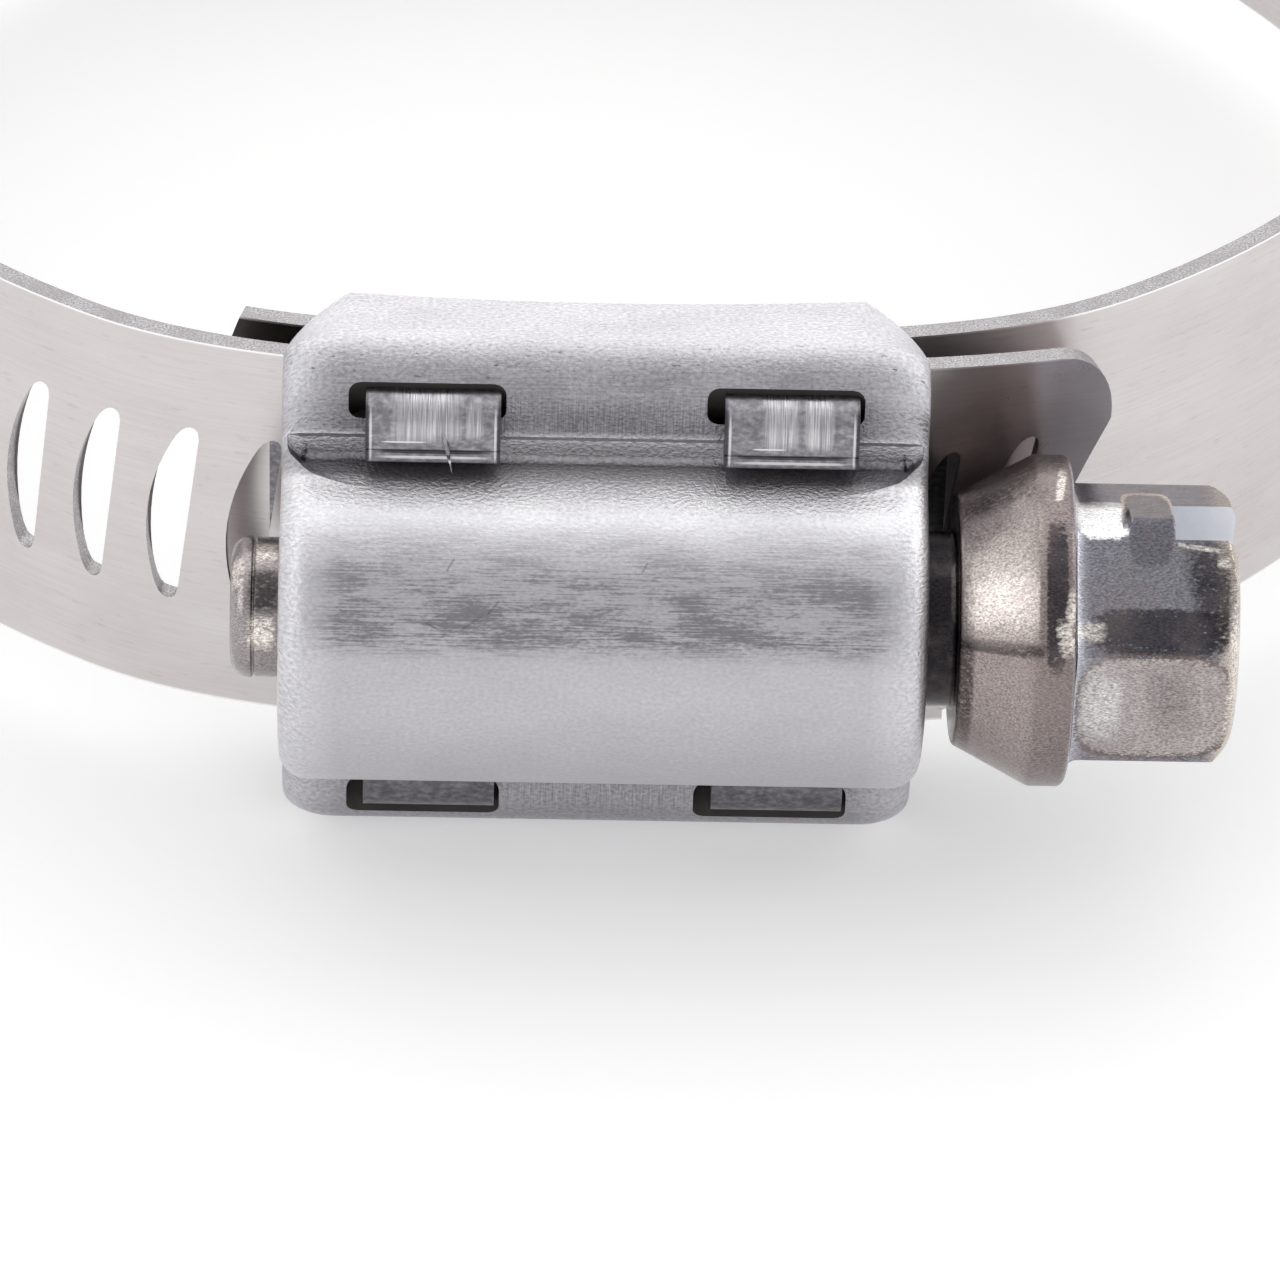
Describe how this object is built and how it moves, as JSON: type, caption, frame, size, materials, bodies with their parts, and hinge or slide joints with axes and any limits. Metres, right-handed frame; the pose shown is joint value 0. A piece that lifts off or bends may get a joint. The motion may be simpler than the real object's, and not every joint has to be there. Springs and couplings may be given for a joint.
{
  "type": "worm drive hose clamp",
  "caption": "Stainless worm drive hose clamp: slotted band looped through a pressed housing, drawn tight by a hex head screw with a driver slot.",
  "frame": {"origin": "middle of the loop, on the hose's axis, half way up the band", "axes": "+Z along the hose's axis, +X along the screw toward its head, the housing on the -Y side"},
  "size_m": [0.0648, 0.0731, 0.019],
  "materials": {
    "band": "rolled stainless strip with fine lines along its length and granular slit edges",
    "saddle": "stainless sheet with bright worn lugs",
    "housing": "pressed stainless sheet, satin, with a grainy drawn texture and light scuffs",
    "screw": "cold-headed steel, darker and shinier, with a warm tint at worn edges"
  },
  "bodies": {
    "clamp": {"band": "band", "saddle": "saddle", "housing": "housing"},
    "screw": {"screw": "screw"}
  },
  "joints": [
    {"name": "screw_turn", "type": "hinge", "parent": "clamp", "child": "screw", "pos_m": [0, -0.035, 0], "axis": [1, 0, 0], "continuous": true, "deforming": ["band"]}
  ]
}
